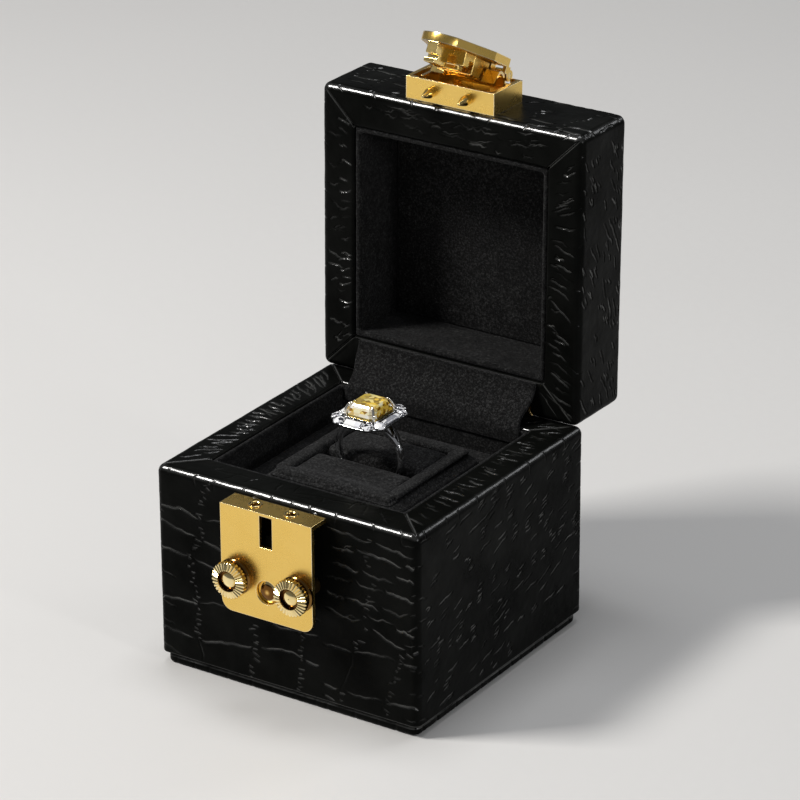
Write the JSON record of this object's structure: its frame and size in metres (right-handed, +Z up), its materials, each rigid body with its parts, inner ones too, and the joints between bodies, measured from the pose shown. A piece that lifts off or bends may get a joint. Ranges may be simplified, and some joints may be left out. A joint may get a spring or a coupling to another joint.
{
  "type": "ring display box",
  "caption": "Near-cubic hinged ring box in embossed leather with a hasp and push-button lock on the front and a suede ring cushion holding a ring.",
  "frame": {"origin": "centre of the bottom face, on the surface the box stands on", "axes": "+Z up, +X to the right seen from the front, +Y to the back where the hinge is; the lid is open at rest"},
  "size_m": [0.076, 0.1047, 0.1514],
  "materials": {
    "leather": "glossy scale-embossed black leather",
    "suede": "black suede with a fine nap",
    "felt": "black felt",
    "foam": "dark foam under suede",
    "board_wood": "plain board",
    "hinge_brass": "satin",
    "gold": "smooth gold plating",
    "gold_bright": "polished gold plating",
    "dark_brass": "dull brass in shadow",
    "steel": "plain steel",
    "white_gold": "polished white gold",
    "prong_gold": "polished",
    "yellow_stone": "faceted yellow stone",
    "clear_stone": "faceted clear stone"
  },
  "bodies": {
    "base": {"base_carcass": "board_wood", "base_leather": "leather", "bottom_plate": "leather", "bottom_pad": "felt", "base_rim_front": "leather", "base_rim_right": "leather", "base_rim_rear": "leather", "base_rim_left": "leather", "base_tray": "suede", "insert_block": "foam", "insert_board": "suede", "hinge_leaf_base": "hinge_brass", "hinge_screws_base": "hinge_brass", "hinge_pin": "hinge_brass", "lock_plate": "gold", "guide_bush_left": "gold_bright", "guide_bush_right": "gold_bright", "lock_case": "dark_brass", "stud_left": "dark_brass", "stud_right": "dark_brass", "button_spring": "steel", "catch_spring": "steel"},
    "lid": {"lid_carcass": "board_wood", "lid_leather": "leather", "lid_rim_front": "leather", "lid_rim_right": "leather", "lid_rim_rear": "leather", "lid_rim_left": "leather", "lid_tray": "suede", "lid_pad": "suede", "hinge_leaf_lid": "hinge_brass", "hinge_screws_lid": "hinge_brass", "hinge_flap": "suede", "hasp_box": "gold", "hasp_rivets": "gold_bright", "locating_pin_left": "gold_bright", "locating_pin_right": "gold_bright", "hasp_hinge_pin": "gold_bright", "hasp_spring": "gold_bright"},
    "hasp": {"flap_plate": "gold", "flap_block": "gold", "flap_lug": "gold", "flap_tongue": "gold_bright"},
    "button": {"button": "gold_bright"},
    "catch": {"catch": "steel"},
    "knob_left": {"knob_left": "gold_bright"},
    "knob_right": {"knob_right": "gold_bright"},
    "cushion": {"cushion_frame": "suede", "cushion_core": "foam", "pad_front": "suede", "pad_rear": "suede"},
    "ring": {"ring_band": "white_gold", "ring_gallery": "white_gold", "ring_halo": "white_gold", "ring_prongs": "prong_gold", "centre_stone": "yellow_stone", "halo_rounds": "clear_stone", "halo_baguettes": "clear_stone"}
  },
  "joints": [
    {"name": "lid_hinge", "type": "hinge", "parent": "base", "child": "lid", "pos_m": [0, 0.0362, 0.0562], "axis": [-1, 0, 0], "range_deg": [-90.9, 0], "deforming": ["hinge_flap"]},
    {"name": "hasp_hinge", "type": "hinge", "parent": "lid", "child": "hasp", "pos_m": [-0.001, 0.04986, 0.1364], "axis": [-1, 0, 0], "range_deg": [-28, 78], "deforming": ["hasp_spring"]},
    {"name": "button_push", "type": "slide", "parent": "base", "child": "button", "axis": [0, 1, 0], "range_m": [0, 0.0012], "stiffness_N_per_m": 250, "springref_m": -0.001, "deforming": ["button_spring"]},
    {"name": "catch_slide", "type": "slide", "parent": "base", "child": "catch", "axis": [0, 0, -1], "range_m": [0, 0.0018], "deforming": ["catch_spring"]},
    {"name": "knob_left_turn", "type": "hinge", "parent": "base", "child": "knob_left", "pos_m": [-0.01, -0.0453, 0.03375], "axis": [0, -1, 0], "continuous": true},
    {"name": "knob_right_turn", "type": "hinge", "parent": "base", "child": "knob_right", "pos_m": [0.008, -0.0453, 0.03375], "axis": [0, -1, 0], "continuous": true},
    {"name": "cushion_lift", "type": "slide", "parent": "base", "child": "cushion", "axis": [0, 0, 1], "range_m": [0, 0.03]},
    {"name": "ring_lift", "type": "slide", "parent": "cushion", "child": "ring", "axis": [0, 0, 1], "range_m": [0, 0.03]}
  ],
  "couplings": [
    {"joint": "catch_slide", "follows": "button_push", "ratio": 1.5}
  ]
}
